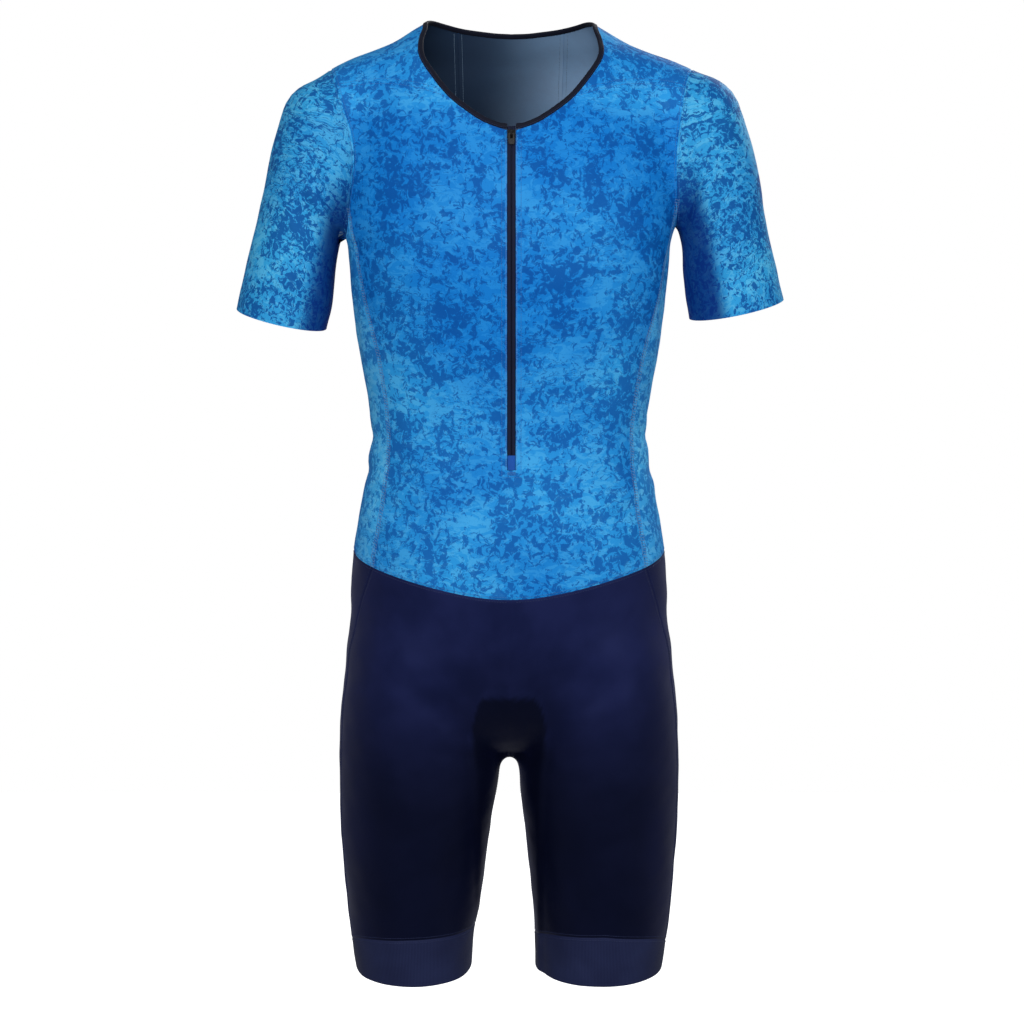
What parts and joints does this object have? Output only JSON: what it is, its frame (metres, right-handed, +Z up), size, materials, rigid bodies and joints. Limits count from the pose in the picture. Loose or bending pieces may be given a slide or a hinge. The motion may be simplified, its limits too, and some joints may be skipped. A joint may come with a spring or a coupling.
{
  "type": "triathlon suit",
  "caption": "Short-sleeved one-piece triathlon suit, filled out as worn: printed top with a front zip, dark shorts with hem bands and a seat pad.",
  "frame": {"origin": "between the shoulders, level with the side of the neck and at the middle of the body's depth, where the wearer's shoulders hold the suit up", "axes": "+X to the wearer's left, -Y to the front, +Z up"},
  "size_m": [0.5579, 0.2348, 0.9837],
  "materials": {
    "print": "smooth knit with a mottled blue print",
    "navy": "smooth stretch knit with a slight sheen",
    "band": "denser knit band",
    "binding": "folded elastic binding",
    "tape": "woven tape with a coil zip",
    "zip_end": "small cloth tab",
    "slider": "dark painted metal",
    "pad": "soft foam pad with a knit face"
  },
  "bodies": {
    "suit": {"front": "print", "back_middle": "print", "back_left": "print", "back_right": "print", "side_left": "print", "side_right": "print", "sleeve_left": "print", "sleeve_right": "print", "shorts_front": "navy", "shorts_back": "navy", "shorts_side_left": "navy", "shorts_side_right": "navy", "gripper_left": "band", "gripper_right": "band", "neck_binding": "binding", "zip_tape": "tape", "zip_end": "zip_end", "zip_slider": "slider", "seat_pad": "pad"},
    "pull": {"zip_pull": "slider"}
  },
  "joints": [
    {"name": "pull_swing", "type": "hinge", "parent": "suit", "child": "pull", "pos_m": [0.00251, -0.09911, -0.11158], "axis": [-1, 0, 0], "range_deg": [0, 165]}
  ]
}
